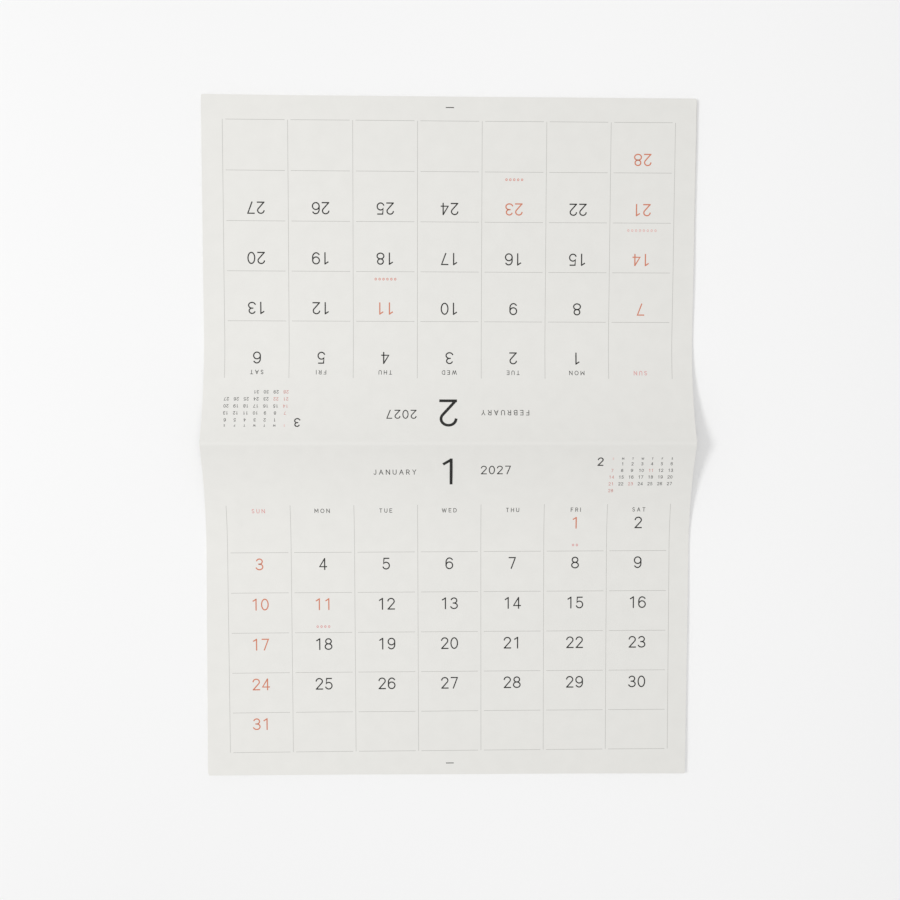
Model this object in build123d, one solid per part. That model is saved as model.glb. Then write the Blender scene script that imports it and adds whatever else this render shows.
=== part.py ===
"""Wall calendar of loose folded sheets, lying open with its fold standing up as a low ridge.

Each sheet carries two months and is folded once across its middle. The sheets nest one inside
the next, so the stack opens flat at both ends and keeps a tent over the fold, the place where
it hangs over a rod or a cord. The creases lie true in one another, but hand folding leaves each
sheet's edges a little off and askew, so the stack fans out by a millimetre or two at its edges.
Frame: +X along the fold, +Y towards the February page, +Z up, origin at the bottom centre.
Millimetres and degrees.
"""
from build123d import *
import math
import os

# Paper, a B3 sheet that folds to B4
SHEET_WIDTH = 364.0
SHEET_LENGTH = 515.0
PAPER_THICKNESS = 0.2
AIR_GAP = 0.15
CORNER_RADIUS = 0.8

# Fold, measured on the underside of the lowest sheet
SLOPE_DEG = 26.4
SLOPE_STRAIGHT = 3.3
CREASE_RADIUS = 2.0
FOOT_RADIUS = 173.0

# Sheets from the table upwards: how far the edges lie off along X, off along Y, and askew
SHEETS = (
    ("sheet_november_december", 0.0, 0.0, -0.24),
    ("sheet_september_october", -0.3, 0.2, -0.10),
    ("sheet_july_august", 0.3, -0.3, -0.20),
    ("sheet_may_june", 0.0, 0.0, -0.30),
    ("sheet_march_april", -0.2, 0.2, -0.12),
    ("sheet_january_february", 0.0, 0.0, -0.15),
)

SLOPE = math.radians(SLOPE_DEG)
SHEET_PITCH = PAPER_THICKNESS + AIR_GAP

# Lowest face of the stack: height of the crease's centre, place where the foot meets the table
CREASE_CENTRE_Z = (
    FOOT_RADIUS - (FOOT_RADIUS + CREASE_RADIUS) * math.cos(SLOPE) + SLOPE_STRAIGHT * math.sin(SLOPE)
)
FOOT_Y = (CREASE_RADIUS + FOOT_RADIUS) * math.sin(SLOPE) + SLOPE_STRAIGHT * math.cos(SLOPE)

# Paper from crease to table, equal for every sheet because the bends up and down cancel out
RIDGE_PATH = (CREASE_RADIUS + FOOT_RADIUS) * SLOPE + SLOPE_STRAIGHT
OPEN_LENGTH = SHEET_LENGTH - 2 * (RIDGE_PATH - FOOT_Y)

# Side of the square bent blank that a sheet is cut from, roomy enough for edges that lie off
BLANK_SIDE = SHEET_LENGTH + SHEET_WIDTH


def crease_point(angle, rise):
    """Point on the crease's arc, angle from straight up, on a face that lies rise above the lowest."""
    radius = CREASE_RADIUS + rise
    return (radius * math.sin(angle), CREASE_CENTRE_Z + radius * math.cos(angle))


def foot_point(angle, rise, side):
    """Point on a foot's arc, angle from straight down, on a face that lies rise above the lowest."""
    radius = FOOT_RADIUS - rise
    return (side * (FOOT_Y - radius * math.sin(angle)), FOOT_RADIUS - radius * math.cos(angle))


def face_line(rise):
    """One face of the bent blank in section: wing, foot, slope, crease, slope, foot, wing."""
    january_foot, february_foot = (
        [foot_point(part * SLOPE, rise, side) for part in (0, 0.5, 1)]
        for side in (-1, 1)
    )
    crease = [crease_point(part * SLOPE, rise) for part in (-1, 0, 1)]
    return [
        Line((-BLANK_SIDE / 2, rise), january_foot[0]),
        ThreePointArc(*january_foot),
        Line(january_foot[2], crease[0]),
        ThreePointArc(*crease),
        Line(crease[2], february_foot[2]),
        ThreePointArc(*reversed(february_foot)),
        Line(february_foot[0], (BLANK_SIDE / 2, rise)),
    ]


def bent_blank(level):
    """Paper bent over the fold, level pitches above the table, larger than any sheet."""
    under = face_line(level * SHEET_PITCH)
    over = face_line(level * SHEET_PITCH + PAPER_THICKNESS)
    ends = [Line(under[0] @ 0, over[0] @ 0), Line(under[-1] @ 1, over[-1] @ 1)]
    section = Plane.YZ * make_face(under + over + ends)
    return extrude(section, BLANK_SIDE / 2, both=True)


def folded_sheet(level, off_x, off_y, askew):
    """One sheet: the bent blank cut to the open sheet's outline, off and askew as folding left it."""
    outline = Pos(off_x, off_y) * Rot(Z=askew) * RectangleRounded(SHEET_WIDTH, OPEN_LENGTH, CORNER_RADIUS)
    return bent_blank(level) & extrude(outline, BLANK_SIDE / 2, both=True)


os.makedirs("parts", exist_ok=True)
for level, (name, off_x, off_y, askew) in enumerate(SHEETS):
    sheet = folded_sheet(level, off_x, off_y, askew)
    sheet.label = name
    export_step(sheet, f"parts/{name}.step")
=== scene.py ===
"""Wall calendar of loose folded sheets, lying open on a white table with its fold raised.

Every sheet is one surface S(u, v): u runs along the fold, v is the way along the paper from the
crease, positive towards the February page. The printing is thin ribbons of ink laid on the top
sheet through the same S(u, v). Lengths are millimetres until a mesh is made, angles degrees.
"""
import math

import bpy
import numpy as np
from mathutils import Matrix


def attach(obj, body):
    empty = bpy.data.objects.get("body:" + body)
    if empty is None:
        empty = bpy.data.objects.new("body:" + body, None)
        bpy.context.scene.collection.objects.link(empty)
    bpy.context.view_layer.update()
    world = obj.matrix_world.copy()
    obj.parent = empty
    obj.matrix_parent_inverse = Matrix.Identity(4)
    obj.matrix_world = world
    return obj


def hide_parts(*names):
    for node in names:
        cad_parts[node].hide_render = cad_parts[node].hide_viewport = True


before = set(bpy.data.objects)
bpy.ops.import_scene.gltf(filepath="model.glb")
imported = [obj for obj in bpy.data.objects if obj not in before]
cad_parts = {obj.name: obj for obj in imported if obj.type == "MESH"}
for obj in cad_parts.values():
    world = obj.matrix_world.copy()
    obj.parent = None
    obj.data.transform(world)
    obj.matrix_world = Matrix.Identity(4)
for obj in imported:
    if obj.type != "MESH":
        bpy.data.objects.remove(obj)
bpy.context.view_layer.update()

MM = 0.001

# Paper and fold, as the solids have them
SHEET_WIDTH = 364.0
SHEET_LENGTH = 515.0
PAPER_THICKNESS = 0.2
AIR_GAP = 0.15
CORNER_RADIUS = 0.8
SLOPE = math.radians(26.4)
SLOPE_STRAIGHT = 3.3
CREASE_RADIUS = 2.0
FOOT_RADIUS = 173.0
SHEET_PITCH = PAPER_THICKNESS + AIR_GAP

# Sheets from the table upwards: edges off along X, off along Y, and askew in degrees
SHEETS = (
    ("sheet_november_december", 0.0, 0.0, -0.24),
    ("sheet_september_october", -0.3, 0.2, -0.10),
    ("sheet_july_august", 0.3, -0.3, -0.20),
    ("sheet_may_june", 0.0, 0.0, -0.30),
    ("sheet_march_april", -0.2, 0.2, -0.12),
    ("sheet_january_february", 0.0, 0.0, -0.15),
)
TOP_FACE = (len(SHEETS) - 1) * SHEET_PITCH + PAPER_THICKNESS

# How far loose paper stands off the sheet below it, at most, and where on the wing that starts
SIDE_LIFT = 0.7
END_LIFT = 0.6
WAVE_LIFT = 0.3
WAVE_LENGTHS = (150.0, 95.0)
WAVE_SHARES = (0.3, 0.2)
WAVE_SKEWS = (0.4, 0.6)
SHORT_WAVE_START = 1.0
LIFT_STARTS = 70.0
LIFT_FULL = 140.0
END_CURL = 90.0

# Points of a sheet: close rows near the crease, wider ones over the foot, even ones on the wing
CREASE_ROWS_END = 6.0
CREASE_ROW_STEP = 0.5
FOOT_ROWS_END = 96.0
FOOT_ROW_STEP = 2.5
WING_ROWS = 30
CORNER_ROWS = 7
SHEET_COLUMNS = 61
EDGE_CROWDING = 0.8

# Painted shade along the crease top: full out to the first distance from the crease, none past the second
CREASE_PAINTED_SHADE = (0.8, 3.2)

# Page layout, from the crease downwards and from the page's middle line
GRID_WIDTH = 333.6
COLUMN = GRID_WIDTH / 7
GRID_FOOT = 239.75
GRID_HEIGHT = 183.5
RULE_TOP = 50.5
RULE_GAP = 2.2
RULE_WIDTH = 0.3
WEEKDAY_MIDDLE = 54.9
WEEKDAY_HEIGHT = 3.3
WEEKDAY_STROKE = 0.41
DAY_HEIGHT = 9.0
DAY_STROKE = 0.9
DAY_DROP = 5.4
DAY_DROP_SHARE = 0.112
NUMERAL_TOP = 13.2
NUMERAL_HEIGHT = 21.2
NUMERAL_STROKE = 2.1
TITLE_BASE = 26.3
MONTH_MARGIN = 24.6
YEAR_MARGIN = 22.6
MONTH_HEIGHT = 4.1
MONTH_STROKE = 0.48
YEAR_HEIGHT = 7.0
YEAR_STROKE = 0.75
NOTE_RISE = 0.15
NOTE_PITCH = 2.9
NOTE_SIZE = 1.9
NOTE_STROKE = 0.45
MINI_COLUMN = 7.3
MINI_ROW = 5.43
MINI_HEADER = 13.8
MINI_FIRST = 18.15
MINI_HEIGHT = 2.6
MINI_STROKE = 0.36
MINI_SINGLE_IN = 0.75
MINI_INITIAL = 1.8
MINI_INITIAL_STROKE = 0.3
MINI_NUMBER_MIDDLE = 112.0
MINI_NUMBER_FOOT = 19.7
MINI_NUMBER_STROKE = 0.86
MARK_LENGTH = 6.0
MARK_WIDTH = 0.6
MARK_PLACE = 249.5

# Type: gap, boxes of figures and the lean of the 1 as shares of the height, arcs in steps of degrees
LETTER_GAP = 0.48
FIGURE_STEP = 0.795
YEAR_STEP = 0.85
ONE_LEANS = 0.06
CURVE_STEP = 12.0
SAME_PLACE = 1e-6

# Limits that keep a stroke's edges near it where it turns
LEAST_MITRE = 0.62
LEAST_MEAN = 0.5

# Ink film over the paper, how far its foot is sunk so that no light shows under it, steps of a rule
INK_FILM = 0.03
INK_SUNK = 0.05
LONGEST_STEP = 3.0

# Table under the lowest sheet, and the stretch along X over which painted light brightens its white
# towards the right
TABLE_DROP = 0.02
TABLE_PAINTED_LIGHT_SPAN = (-350.0, 300.0)

# Camera: place, turn in degrees, lens and sensor width
CAMERA_PLACE = (-14.65, 38.6, 751.7)
CAMERA_TURN = (-3.398, -1.173, 0.038)
CAMERA_LENS = 40.0
CAMERA_SENSOR = 36.0

YEAR = "2027"
WEEKDAYS = ("SUN", "MON", "TUE", "WED", "THU", "FRI", "SAT")


def smooth(t):
    """Cubic ease from 0 to 1, held at both ends."""
    t = np.clip(t, 0.0, 1.0)
    return t * t * (3.0 - 2.0 * t)


def fold_section(path, rise):
    """Plan place and height of a face that lies rise above the lowest, path along it from the crease.

    The crease is an arc about a centre on the middle plane, then comes a short straight slope, then
    the foot's arc about a centre over the table, then the flat wing. Raising the face adds to the
    crease's radius what it takes from the foot's, so every face has the same length.
    """
    crease = CREASE_RADIUS + rise
    foot = FOOT_RADIUS - rise
    reach = CREASE_RADIUS + FOOT_RADIUS
    centre_z = FOOT_RADIUS - reach * math.cos(SLOPE) + SLOPE_STRAIGHT * math.sin(SLOPE)
    foot_y = reach * math.sin(SLOPE) + SLOPE_STRAIGHT * math.cos(SLOPE)
    crease_end = crease * SLOPE
    slope_end = crease_end + SLOPE_STRAIGHT
    foot_end = slope_end + foot * SLOPE
    on_crease = np.minimum(path, crease_end) / crease
    on_slope = np.clip(path - crease_end, 0.0, SLOPE_STRAIGHT)
    on_foot = SLOPE - np.clip(path - slope_end, 0.0, foot * SLOPE) / foot
    on_wing = np.maximum(path - foot_end, 0.0)
    y_bend = crease * np.sin(on_crease) + on_slope * math.cos(SLOPE)
    z_bend = centre_z + crease * np.cos(on_crease) - on_slope * math.sin(SLOPE)
    y_foot = foot_y - foot * np.sin(on_foot) + on_wing
    z_foot = FOOT_RADIUS - foot * np.cos(on_foot)
    on_bend = path < slope_end
    return np.where(on_bend, y_bend, y_foot), np.where(on_bend, z_bend, z_foot)


def stand_off(u, v, share):
    """Gap that loose paper leaves under it: none at the fold, most at the sides and the far ends.

    The side's part grows with the fourth power of the way across, the end's part with an ease over
    the last stretch, and two slow waves run askew over the wing. All of it is times share, the
    sheet's share of the way up the stack, so no sheet meets the one above it.
    """
    out = np.abs(v)
    side = (np.abs(u) / (SHEET_WIDTH / 2)) ** 4
    end = smooth((out - SHEET_LENGTH / 2 + END_CURL) / END_CURL)
    long_turn, short_turn = (2 * math.pi / length for length in WAVE_LENGTHS)
    long_wave = np.sin(long_turn * (u + WAVE_SKEWS[0] * v))
    short_wave = np.sin(short_turn * (v - WAVE_SKEWS[1] * u) + SHORT_WAVE_START)
    wave = 0.5 + WAVE_SHARES[0] * long_wave + WAVE_SHARES[1] * short_wave
    wing = smooth((out - LIFT_STARTS) / (LIFT_FULL - LIFT_STARTS))
    return share * wing * (SIDE_LIFT * side + END_LIFT * end + WAVE_LIFT * wave)


def paper_surface(u, v, rise, share):
    """S(u, v): the fold's section at the way |v| from the crease, mirrored by v's sign, plus stand-off."""
    y, z = fold_section(np.abs(v), rise)
    return np.stack([u, np.sign(v) * y, z + stand_off(u, v, share)], axis=-1)


def grid_quads(rows, columns, first=0):
    """Corner numbers of the quads of a grid of points, row after row, counted from first."""
    corner = first + np.arange(rows - 1)[:, None] * columns + np.arange(columns - 1)[None, :]
    return np.stack([corner, corner + 1, corner + columns + 1, corner + columns], axis=-1).reshape(-1, 4)


def make_piece(name, points, quads, material, sharp=40.0):
    """Mesh object at the origin from points in millimetres and quads, smooth but for its sharp edges."""
    mesh = bpy.data.meshes.new(name)
    mesh.vertices.add(len(points))
    mesh.vertices.foreach_set("co", (points * MM).astype(np.float32).ravel())
    mesh.loops.add(quads.size)
    mesh.loops.foreach_set("vertex_index", quads.astype(np.int32).ravel())
    mesh.polygons.add(len(quads))
    mesh.polygons.foreach_set("loop_start", np.arange(0, quads.size, 4, dtype=np.int32))
    mesh.polygons.foreach_set("use_smooth", np.ones(len(quads), dtype=bool))
    mesh.update(calc_edges=True)
    mesh.set_sharp_from_angle(angle=math.radians(sharp))
    mesh.materials.append(material)
    piece = bpy.data.objects.new(name, mesh)
    bpy.context.scene.collection.objects.link(piece)
    return piece


def sheet_rows():
    """Places along a sheet, from one far end to the other: close at the crease and in the corners."""
    half = SHEET_LENGTH / 2
    turn = np.linspace(0.0, math.pi / 2, CORNER_ROWS)
    corner = half - CORNER_RADIUS + CORNER_RADIUS * np.sin(turn)
    crease = np.arange(0.0, CREASE_ROWS_END, CREASE_ROW_STEP)
    foot = np.arange(CREASE_ROWS_END, FOOT_ROWS_END, FOOT_ROW_STEP)
    wing = np.linspace(FOOT_ROWS_END, half - CORNER_RADIUS, WING_ROWS)[:-1]
    out = np.concatenate([crease, foot, wing, corner])
    return np.concatenate([-out[:0:-1], out])


def sheet_of_paper(level, name, off_x, off_y, askew, material):
    """Closed thin sheet: the rounded rectangle of paper, turned askew, carried through S on both faces.

    A row's half width is the sheet's, less what the corner's circle takes off in the last rows.
    """
    along = sheet_rows()
    corner_in = np.clip(np.abs(along) - SHEET_LENGTH / 2 + CORNER_RADIUS, 0.0, CORNER_RADIUS)
    half_width = SHEET_WIDTH / 2 - CORNER_RADIUS + np.sqrt(CORNER_RADIUS ** 2 - corner_in ** 2)
    crowd = math.pi / 2 * EDGE_CROWDING
    across = np.sin(np.linspace(-1.0, 1.0, SHEET_COLUMNS) * crowd) / math.sin(crowd)
    a = half_width[:, None] * across[None, :]
    b = np.repeat(along[:, None], across.size, axis=1)
    turn = math.radians(askew)
    u = a * math.cos(turn) - b * math.sin(turn) + off_x
    v = a * math.sin(turn) + b * math.cos(turn) + off_y
    share = level / (len(SHEETS) - 1)
    under = paper_surface(u, v, level * SHEET_PITCH, share).reshape(-1, 3)
    over = paper_surface(u, v, level * SHEET_PITCH + PAPER_THICKNESS, share).reshape(-1, 3)
    rows, columns = a.shape
    count = rows * columns
    upper = grid_quads(rows, columns, count)
    lower = grid_quads(rows, columns)[:, ::-1]
    number = np.arange(count).reshape(rows, columns)
    rim = np.concatenate([number[0, :-1], number[:-1, -1], number[-1, :0:-1], number[:0:-1, 0]])
    after = np.roll(rim, -1)
    wall = np.stack([rim, after, after + count, rim + count], axis=-1)
    piece = make_piece(name, np.concatenate([under, over]), np.concatenate([lower, upper, wall]), material)
    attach(piece, "root")
    return piece


def run(*places):
    """One stroke, straight from place to place of a letter's box, mitred where it turns."""
    return np.array(places, dtype=float)


def zigzag(*places):
    """Straight strokes from place to place, each by itself, so that sharp turns keep the full width."""
    return tuple(run(start, end) for start, end in zip(places, places[1:]))


def arc(x, y, rx, ry, start, end):
    """Part of an ellipse about x, y from start to end in degrees, in even steps."""
    count = max(3, int(abs(end - start) / CURVE_STEP) + 1)
    turn = np.radians(np.linspace(start, end, count))
    return np.stack([x + rx * np.cos(turn), y + ry * np.sin(turn)], axis=-1)


def chain(*parts):
    """One stroke made of several that follow one another; a place shared by two of them is kept once."""
    line = np.concatenate(parts)
    moved = np.linalg.norm(np.diff(line, axis=0), axis=1) > SAME_PLACE
    return line[np.concatenate([[True], moved])]


# Letterforms: width for a height of 1, then strokes in a box from 0 to 1 both ways, y upwards
RING = arc(0.5, 0.5, 0.5, 0.5, 0, 360)
SIX = (
    arc(0.5, 0.31, 0.5, 0.31, 0, 360),
    chain(arc(0.52, 0.62, 0.52, 0.38, 38, 180), run((0, 0.31))),
)
LETTERS = {
    "0": (0.65, (RING,)),
    "1": (0.34, (run((1, 0), (1, 1)), run((0, 0.83), (0.9, 0.985)))),
    "2": (0.62, (chain(arc(0.48, 0.735, 0.5, 0.265, 172, -34), run((0.06, 0.04))), run((0, 0), (1, 0)))),
    "3": (0.63, (
        chain(arc(0.47, 0.76, 0.45, 0.24, 158, -90), run((0.36, 0.52))),
        arc(0.47, 0.26, 0.53, 0.26, 84, -158),
    )),
    "4": (0.68, (run((0.74, 0), (0.74, 1)), run((0.7, 0.97), (0.02, 0.25), (1, 0.25)))),
    "5": (0.62, (chain(run((0.9, 1), (0.14, 1), (0.06, 0.5)), arc(0.47, 0.315, 0.53, 0.315, 130, -155)),)),
    "6": (0.65, SIX),
    "7": (0.61, (run((0, 1), (1, 1), (0.34, 0)),)),
    "8": (0.66, (arc(0.5, 0.76, 0.42, 0.24, 0, 360), arc(0.5, 0.26, 0.5, 0.26, 0, 360))),
    "9": (0.65, tuple(1.0 - stroke for stroke in SIX)),
    "A": (0.78, (*zigzag((0, 0), (0.5, 1), (1, 0)), run((0.2, 0.34), (0.8, 0.34)))),
    "B": (0.66, (
        chain(run((0, 0.53), (0, 1)), arc(0.5, 0.765, 0.44, 0.235, 90, -90), run((0, 0.53))),
        chain(run((0, 0.53)), arc(0.55, 0.265, 0.45, 0.265, 90, -90), run((0, 0), (0, 0.53))),
    )),
    "D": (0.74, (chain(run((0, 0), (0, 1)), arc(0.4, 0.5, 0.6, 0.5, 90, -90), run((0, 0), (0, 0.5))),)),
    "E": (0.60, (run((1, 1), (0, 1), (0, 0), (1, 0)), run((0, 0.52), (0.86, 0.52)))),
    "F": (0.58, (run((1, 1), (0, 1), (0, 0)), run((0, 0.5), (0.84, 0.5)))),
    "H": (0.70, (run((0, 0), (0, 1)), run((1, 0), (1, 1)), run((0, 0.52), (1, 0.52)))),
    "I": (0.13, (run((0.5, 0), (0.5, 1)),)),
    "J": (0.48, (chain(run((1, 1)), arc(0.46, 0.3, 0.54, 0.3, 0, -150)),)),
    "M": (0.86, zigzag((0, 0), (0, 1), (0.5, 0.3), (1, 1), (1, 0))),
    "N": (0.74, zigzag((0, 0), (0, 1), (1, 0), (1, 1))),
    "O": (0.88, (RING,)),
    "R": (0.63, (
        chain(run((0, 0), (0, 1)), arc(0.5, 0.735, 0.48, 0.265, 90, -90), run((0, 0.47))),
        run((0.5, 0.47), (1, 0)),
    )),
    "S": (0.58, (chain(arc(0.5, 0.75, 0.47, 0.25, 28, 270), arc(0.5, 0.25, 0.5, 0.25, 90, -152)),)),
    "T": (0.64, (run((0, 1), (1, 1)), run((0.5, 1), (0.5, 0)))),
    "U": (0.70, (chain(run((0, 1)), arc(0.5, 0.33, 0.5, 0.33, 180, 360), run((1, 1))),)),
    "W": (1.08, zigzag((0, 1), (0.25, 0), (0.5, 0.92), (0.75, 0), (1, 1))),
    "Y": (0.70, (run((0, 1), (0.5, 0.46), (1, 1)), run((0.5, 0.46), (0.5, 0)))),
}


class Page:
    """One month's side of the top sheet, with the ink ribbons laid on it so far, ink by ink.

    Page places are across, from the middle line to the reader's right, and down, from the crease.
    side is -1 for the page towards the viewer and 1 for the page beyond the fold, which reads from
    the far end, so both its directions are turned round. The print starts a little off the crease
    and stands askew by some degrees, as the press and the folding left it.
    """

    def __init__(self, side, start, askew):
        self.side = side
        self.start = start
        self.askew = math.radians(askew)
        self.ribbons = {}

    def on_paper(self, across, down, rise):
        """Place in space of a page place, on the top sheet's face raised by rise."""
        u = -self.side * (across + self.askew * down)
        v = self.side * (down + self.start - self.askew * across)
        return paper_surface(u, v, TOP_FACE + rise, 1.0)

    def ribbon(self, ink, line, width):
        """Bar of ink along line, a list of page places (across, up from the crease as minus down).

        The two edges lie half the width to the left and right, along the mean of the normals of the
        stretches that meet in each point, mitred. The section of the bar has four corners, two above
        the paper and two sunk into it. An open line gets square ends, a closed one meets itself.
        """
        closed = np.allclose(line[0], line[-1])
        step = np.diff(line, axis=0)
        length = np.linalg.norm(step, axis=1)
        if closed:
            line = line[:-1]
        else:
            line = line.copy()
            line[0] -= step[0] / length[0] * width / 2
            line[-1] += step[-1] / length[-1] * width / 2
        normal = np.stack([-step[:, 1], step[:, 0]], axis=-1) / length[:, None]
        before = np.roll(normal, 1, axis=0) if closed else np.concatenate([normal[:1], normal])
        after = normal if closed else np.concatenate([normal, normal[-1:]])
        mean = before + after
        mean /= np.maximum(np.linalg.norm(mean, axis=1), LEAST_MEAN)[:, None]
        reach = np.maximum((mean * after).sum(axis=1), LEAST_MITRE)
        offset = mean / reach[:, None] * width / 2
        left, right = line + offset, line - offset
        ring = [(left, INK_FILM), (right, INK_FILM), (right, -INK_SUNK), (left, -INK_SUNK)]
        points = np.stack([self.on_paper(p[:, 0], -p[:, 1], rise) for p, rise in ring], axis=1)
        self.ribbons.setdefault(ink, []).append((points, closed))

    def rule(self, ink, start, end, width):
        """Straight ruled line between two page places (across, down), cut into short steps."""
        start, end = np.array(start, dtype=float), np.array(end, dtype=float)
        steps = max(1, math.ceil(np.linalg.norm(end - start) / LONGEST_STEP))
        share = np.linspace(0.0, 1.0, steps + 1)[:, None]
        line = (start * (1 - share) + end * share) * (1, -1)
        step = line[1] - line[0]
        cap = step / np.linalg.norm(step) * width / 2
        line[0] += cap
        line[-1] -= cap
        self.ribbon(ink, line, width)

    def letter(self, ink, sign, left, foot, height, stroke):
        """One letter with its outer left edge at left and its foot on the line foot."""
        width, strokes = LETTERS[sign]
        inner = np.array([width * height - stroke, height - stroke])
        for points in strokes:
            place = points * inner + stroke / 2
            self.ribbon(ink, place + (left, -foot), stroke)

    def words(self, ink, text, across, foot, height, stroke, align=0.5, step=FIGURE_STEP):
        """A line of letters or figures; align is the share of its width that lies left of across.

        Letters stand an even gap apart. Figures stand in the middle of boxes of one width, step times
        their height, but for the 1, which leans to the left in its box.
        """
        width = np.array([LETTERS[sign][0] for sign in text])
        if text.isdigit():
            leans = np.array([ONE_LEANS * (sign == "1") for sign in text])
            left = (np.arange(len(text)) + 0.5) * step - width / 2 - leans
            total = len(text) * step
        else:
            left = np.cumsum(width + LETTER_GAP) - width - LETTER_GAP
            total = left[-1] + width[-1]
        for sign, start in zip(text, across + (left - align * total) * height):
            self.letter(ink, sign, start, foot, height, stroke)


def month_days(first_weekday, days):
    """Day, row and column of each day in a month grid whose first day falls on first_weekday."""
    return [(day, *divmod(first_weekday + day - 1, 7)) for day in range(1, days + 1)]


def month_grid(page, first_weekday, days, rows, red_days, notes):
    """Rules, weekday names, day numbers and the rows of small rings that stand for notes."""
    row_height = GRID_HEIGHT / rows
    for column in range(8):
        across = (column - 3.5) * COLUMN
        page.rule("grey", (across, RULE_TOP), (across, GRID_FOOT), RULE_WIDTH)
    for column, name in enumerate(WEEKDAYS):
        middle = (column - 3) * COLUMN
        for row in range(rows):
            down = GRID_FOOT - row * row_height
            half = COLUMN / 2 - RULE_GAP
            page.rule("grey", (middle - half, down), (middle + half, down), RULE_WIDTH)
        ink = "pink" if column == 0 else "black"
        foot = WEEKDAY_MIDDLE + WEEKDAY_HEIGHT / 2
        page.words(ink, name, middle, foot, WEEKDAY_HEIGHT, WEEKDAY_STROKE)
    first_top = GRID_FOOT - GRID_HEIGHT
    day_drop = DAY_DROP_SHARE * row_height + DAY_DROP
    for day, row, column in month_days(first_weekday, days):
        middle = (column - 3) * COLUMN
        top = first_top + row * row_height
        ink = "red" if column == 0 or day in red_days else "black"
        page.words(ink, str(day), middle, top + day_drop + DAY_HEIGHT / 2, DAY_HEIGHT, DAY_STROKE)
        count, note_ink = notes.get(day, (0, None))
        note_foot = top + (1 - NOTE_RISE) * row_height + NOTE_SIZE / 2
        for ring in range(count):
            left = middle + (ring - count / 2) * NOTE_PITCH + (NOTE_PITCH - NOTE_SIZE) / 2
            page.letter(note_ink, "O", left, note_foot, NOTE_SIZE, NOTE_STROKE)


def mini_month(page, number, first_weekday, days, red_days):
    """Small calendar of the next month, set against the grid's right-hand edge."""
    page.words(
        "black", str(number), MINI_NUMBER_MIDDLE, MINI_NUMBER_FOOT, YEAR_HEIGHT, MINI_NUMBER_STROKE,
    )
    for column, name in enumerate(WEEKDAYS):
        middle = GRID_WIDTH / 2 - (6 - column) * MINI_COLUMN - MINI_INITIAL
        ink = "pale_pink" if column == 0 else "grey_type"
        foot = MINI_HEADER + MINI_INITIAL / 2
        page.words(ink, name[0], middle, foot, MINI_INITIAL, MINI_INITIAL_STROKE)
    for day, row, column in month_days(first_weekday, days):
        right = GRID_WIDTH / 2 - (6 - column) * MINI_COLUMN - MINI_SINGLE_IN * (day < 10)
        foot = MINI_FIRST + row * MINI_ROW + MINI_HEIGHT / 2
        ink = "faded_red" if column == 0 or day in red_days else "grey_type"
        page.words(ink, str(day), right, foot, MINI_HEIGHT, MINI_STROKE, align=1.0)


def month_page(page, number, middle, name, grid, mini):
    """Whole printing of one page: title, grid, small calendar and the short mark near the far end."""
    numeral_foot = NUMERAL_TOP + NUMERAL_HEIGHT
    page.words("black", str(number), middle, numeral_foot, NUMERAL_HEIGHT, NUMERAL_STROKE)
    page.words("black", name, middle - MONTH_MARGIN, TITLE_BASE, MONTH_HEIGHT, MONTH_STROKE, align=1.0)
    page.words(
        "black", YEAR, middle + YEAR_MARGIN, TITLE_BASE, YEAR_HEIGHT, YEAR_STROKE,
        align=0.0, step=YEAR_STEP,
    )
    month_grid(page, *grid)
    mini_month(page, *mini)
    page.rule("black", (-MARK_LENGTH / 2, MARK_PLACE), (MARK_LENGTH / 2, MARK_PLACE), MARK_WIDTH)


def ink_piece(name, ribbons, material):
    """All the ribbons of one ink on one page as one mesh: tubes of quads, with a quad on each open end."""
    points, quads, first = [], [], 0
    for sections, closed in ribbons:
        number = first + np.arange(sections.shape[0] * 4).reshape(-1, 4)
        tube = np.concatenate([number, number[:, :1]], axis=1)
        if closed:
            tube = np.concatenate([tube, tube[:1]])
        else:
            quads.append(np.stack([number[0, ::-1], number[-1]]))
        sides = [tube[:-1, :-1], tube[:-1, 1:], tube[1:, 1:], tube[1:, :-1]]
        quads.append(np.stack(sides, axis=-1).reshape(-1, 4))
        points.append(sections.reshape(-1, 3))
        first += number.size
    piece = make_piece(name, np.concatenate(points), np.concatenate(quads), material)
    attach(piece, "root")
    return piece


def linear(code):
    """Linear colour from an sRGB hex code such as #f0efec."""
    part = np.array([int(code[k:k + 2], 16) for k in (1, 3, 5)]) / 255.0
    value = np.where(part <= 0.04045, part / 12.92, ((part + 0.055) / 1.055) ** 2.4)
    return (*value.tolist(), 1.0)


def node(tree, kind, links=None, **settings):
    """Adds a node of a kind to a tree; settings fill its sockets or properties, links feed its sockets."""
    made = tree.nodes.new(kind)
    for name, value in settings.items():
        if name in made.inputs:
            made.inputs[name].default_value = value
        else:
            setattr(made, name, value)
    for name, source in (links or {}).items():
        tree.links.new(source, made.inputs[name])
    return made


def per_mm(size):
    """Texture scale that gives features about size millimetres across."""
    return 1.0 / (size * MM)


def new_material(name):
    """Empty node material with its Principled shader, output and object coordinates."""
    material = bpy.data.materials.new(name)
    material.use_nodes = True
    tree = material.node_tree
    tree.nodes.clear()
    shader = tree.nodes.new("ShaderNodeBsdfPrincipled")
    output = tree.nodes.new("ShaderNodeOutputMaterial")
    tree.links.new(shader.outputs[0], output.inputs[0])
    place = tree.nodes.new("ShaderNodeTexCoord").outputs["Object"]
    return material, tree, shader, place


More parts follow.
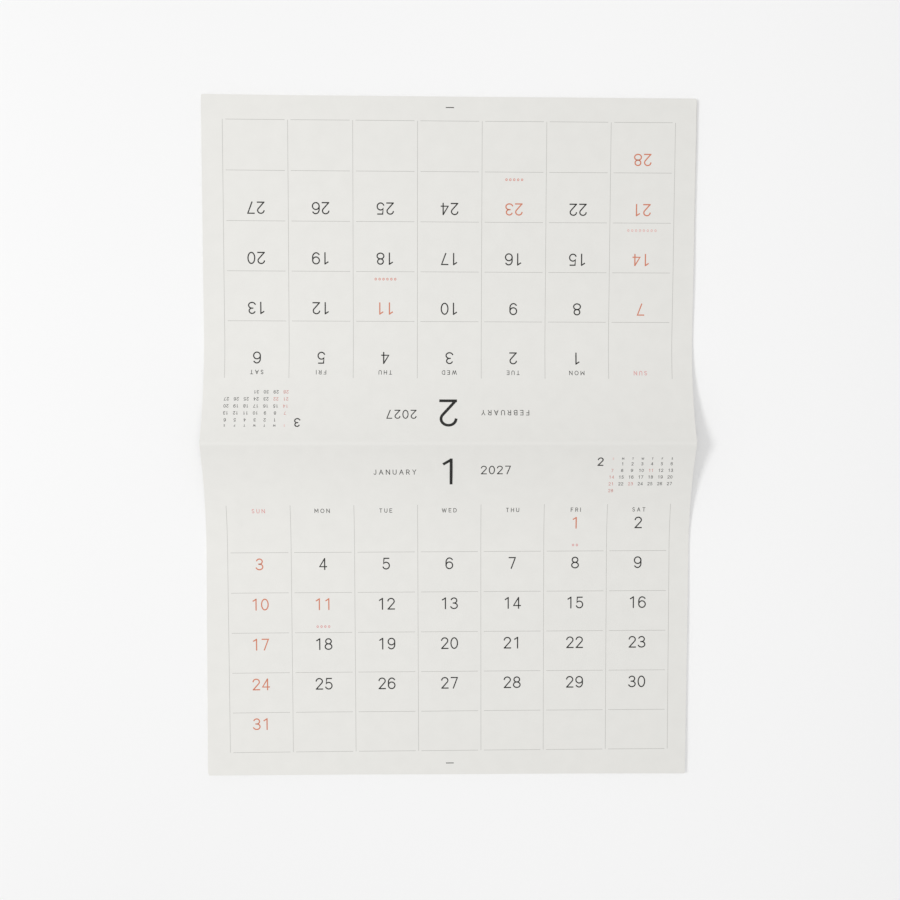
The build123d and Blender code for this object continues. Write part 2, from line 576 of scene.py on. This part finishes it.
def uncoated_paper():
    """White uncoated wood-free paper: dead matt, faintly cloudy where the pulp settled, with a fine tooth.

    The tooth is really about 0.1 mm and is drawn at 0.7 mm, so that it shows. Painted shade along the
    crease makes the top of the fold a little darker, damping the light it catches from above.
    """
    material, tree, shader, place = new_material("uncoated_paper")
    cloud = node(tree, "ShaderNodeTexNoise", {"Vector": place}, Scale=per_mm(11.0), Detail=4.0)
    tint = node(tree, "ShaderNodeMix", {"Factor": cloud.outputs[0]}, data_type="RGBA")
    tint.inputs["A"].default_value = linear("#ebeae6")
    tint.inputs["B"].default_value = linear("#e5e4e0")
    # Painted shade: the paper colour is darker in a strip along the crease top, where the fold faces the
    # light
    across = node(tree, "ShaderNodeSeparateXYZ", {"Vector": place})
    away = node(tree, "ShaderNodeMath", {0: across.outputs["Y"]}, operation="ABSOLUTE")
    crease_painted_shade = node(tree, "ShaderNodeMapRange", {"Value": away.outputs[0]}, interpolation_type="SMOOTHSTEP")
    crease_painted_shade.inputs["From Min"].default_value = CREASE_PAINTED_SHADE[0] * MM
    crease_painted_shade.inputs["From Max"].default_value = CREASE_PAINTED_SHADE[1] * MM
    crease_painted_shade.inputs["To Min"].default_value = 1.0
    crease_painted_shade.inputs["To Max"].default_value = 0.0
    paper_with_painted_crease_shade = node(tree, "ShaderNodeMix", {"Factor": crease_painted_shade.outputs[0]}, data_type="RGBA")
    tree.links.new(tint.outputs["Result"], paper_with_painted_crease_shade.inputs["A"])
    paper_with_painted_crease_shade.inputs["B"].default_value = linear("#e7e6e2")
    tooth = node(tree, "ShaderNodeTexNoise", {"Vector": place}, Scale=per_mm(0.7), Detail=3.0)
    bump = node(tree, "ShaderNodeBump", {"Height": tooth.outputs[0]}, Strength=0.25, Distance=0.03 * MM)
    rough = node(tree, "ShaderNodeMapRange", {"Value": tooth.outputs[0]})
    rough.inputs["To Min"].default_value = 0.86
    rough.inputs["To Max"].default_value = 0.98
    tree.links.new(paper_with_painted_crease_shade.outputs["Result"], shader.inputs["Base Color"])
    tree.links.new(rough.outputs[0], shader.inputs["Roughness"])
    tree.links.new(bump.outputs[0], shader.inputs["Normal"])
    shader.inputs["IOR"].default_value = 1.45
    return material


def offset_ink(name, solid, thin):
    """Offset printing ink soaked into the paper: matt, a touch uneven where the film is thin."""
    material, tree, shader, place = new_material(name)
    lay = node(tree, "ShaderNodeTexNoise", {"Vector": place}, Scale=per_mm(0.8), Detail=3.0)
    tint = node(tree, "ShaderNodeMix", {"Factor": lay.outputs[0]}, data_type="RGBA")
    tint.inputs["A"].default_value = linear(solid)
    tint.inputs["B"].default_value = linear(thin)
    tree.links.new(tint.outputs["Result"], shader.inputs["Base Color"])
    shader.inputs["Roughness"].default_value = 0.8
    shader.inputs["Specular IOR Level"].default_value = 0.25
    return material


def table_top():
    """White laminate table: an even satin white, with painted light that makes it brighter towards the
    right.
    """
    material, tree, shader, place = new_material("white_laminate_painted_light")
    # Painted light: the white is painted brighter towards the right, evening out how the window lamp on
    # the left lights the table
    along = node(tree, "ShaderNodeSeparateXYZ", {"Vector": place})
    ease = node(tree, "ShaderNodeMapRange", {"Value": along.outputs["X"]}, interpolation_type="SMOOTHSTEP")
    ease.inputs["From Min"].default_value = TABLE_PAINTED_LIGHT_SPAN[0] * MM
    ease.inputs["From Max"].default_value = TABLE_PAINTED_LIGHT_SPAN[1] * MM
    tint = node(tree, "ShaderNodeMix", {"Factor": ease.outputs[0]}, data_type="RGBA")
    tint.inputs["A"].default_value = linear("#f3f3f3")
    tint.inputs["B"].default_value = linear("#fdfdfd")
    tree.links.new(tint.outputs["Result"], shader.inputs["Base Color"])
    shader.inputs["Roughness"].default_value = 0.8
    return material


def white_room(light, seen):
    """World that lights evenly with light, and shows as seen to camera, glossy and clear rays."""
    world = bpy.data.worlds.new("white_room")
    world.use_nodes = True
    tree = world.node_tree
    tree.nodes.clear()
    path = node(tree, "ShaderNodeLightPath")
    glossy = node(tree, "ShaderNodeMath", operation="MAXIMUM")
    tree.links.new(path.outputs["Is Glossy Ray"], glossy.inputs[0])
    tree.links.new(path.outputs["Is Transmission Ray"], glossy.inputs[1])
    either = node(tree, "ShaderNodeMath", operation="MAXIMUM")
    tree.links.new(path.outputs["Is Camera Ray"], either.inputs[0])
    tree.links.new(glossy.outputs[0], either.inputs[1])
    room = node(tree, "ShaderNodeBackground", Color=linear("#ffffff"), Strength=light)
    wall = node(tree, "ShaderNodeBackground", Color=linear("#ffffff"), Strength=seen)
    sockets = {0: either.outputs[0], 1: room.outputs[0], 2: wall.outputs[0]}
    mix = node(tree, "ShaderNodeMixShader", sockets)
    output = node(tree, "ShaderNodeOutputWorld")
    tree.links.new(mix.outputs[0], output.inputs[0])
    bpy.context.scene.world = world


def ceiling_glow(name, strength, spread):
    """Even light straight from above, spread over many degrees."""
    lamp = bpy.data.lights.new(name, "SUN")
    lamp.energy = strength
    lamp.angle = math.radians(spread)
    holder = bpy.data.objects.new(name, lamp)
    bpy.context.scene.collection.objects.link(holder)


def soft_box(name, place, size, power):
    """Square soft lamp at place in metres, turned to the calendar's middle."""
    lamp = bpy.data.lights.new(name, "AREA")
    lamp.size = size
    lamp.energy = power
    holder = bpy.data.objects.new(name, lamp)
    x, y, z = place
    holder.location = place
    holder.rotation_euler = (math.atan2(math.hypot(x, y), z), 0.0, math.atan2(x, -y))
    bpy.context.scene.collection.objects.link(holder)


def table(half, material):
    """Square table top, half its side in metres, a hair under the lowest sheet: two by two points."""
    edge = np.array([-half, half]) / MM
    x, y = np.meshgrid(edge, edge)
    points = np.stack([x, y, np.full_like(x, -TABLE_DROP)], axis=-1).reshape(-1, 3)
    floor = make_piece("table_top", points, grid_quads(2, 2), material)


def look_down():
    """Camera over the calendar, a little towards February and to the left, as the photograph has it."""
    camera = bpy.data.cameras.new("camera")
    camera.sensor_width = CAMERA_SENSOR
    camera.lens = CAMERA_LENS
    camera.clip_start = 0.01
    holder = bpy.data.objects.new("camera", camera)
    holder.location = tuple(way * MM for way in CAMERA_PLACE)
    holder.rotation_euler = tuple(math.radians(turn) for turn in CAMERA_TURN)
    bpy.context.scene.collection.objects.link(holder)
    bpy.context.scene.camera = holder


paper = uncoated_paper()
for level, (name, off_x, off_y, askew) in enumerate(SHEETS):
    piece = sheet_of_paper(level, "paper_" + name, off_x, off_y, askew, paper)
    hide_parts(name)

INKS = {
    "black": offset_ink("black_offset_ink", "#232322", "#30302e"),
    "grey": offset_ink("grey_rule_ink", "#b4b3af", "#bdbcb8"),
    "grey_type": offset_ink("grey_type_ink", "#565654", "#62625f"),
    "red": offset_ink("red_offset_ink", "#d07b60", "#d6896e"),
    "light_red": offset_ink("light_red_offset_ink", "#d68272", "#dc8f80"),
    "faded_red": offset_ink("faded_red_offset_ink", "#cd8f88", "#d39b94"),
    "pink": offset_ink("pink_offset_ink", "#d98f8d", "#dd9a98"),
    "pale_pink": offset_ink("pale_pink_offset_ink", "#e3b2ac", "#e7bcb6"),
}
january = Page(-1, start=-0.76, askew=0.17)
month_page(
    january, 1, 0.0, "JANUARY",
    grid=(5, 31, 6, {1, 11}, {1: (2, "pink"), 11: (4, "pink")}),
    mini=(2, 1, 28, {11, 23}),
)
february = Page(1, start=0.16, askew=-0.12)
month_page(
    february, 2, 0.9, "FEBRUARY",
    grid=(1, 28, 5, {11, 23}, {11: (6, "light_red"), 23: (5, "light_red"), 14: (8, "pale_pink")}),
    mini=(3, 1, 31, {22}),
)
for month, page in (("january", january), ("february", february)):
    for ink, ribbons in page.ribbons.items():
        ink_piece(f"{month}_print_{ink}", ribbons, INKS[ink])

table(half=12.0, material=table_top())
white_room(light=0.42, seen=0.70)
ceiling_glow("ceiling_light", strength=0.97, spread=50.0)
soft_box("window_light", place=(-1.07, 0.13, 1.5), size=0.42, power=10.6)
look_down()
bpy.context.scene.view_settings.view_transform = "Standard"
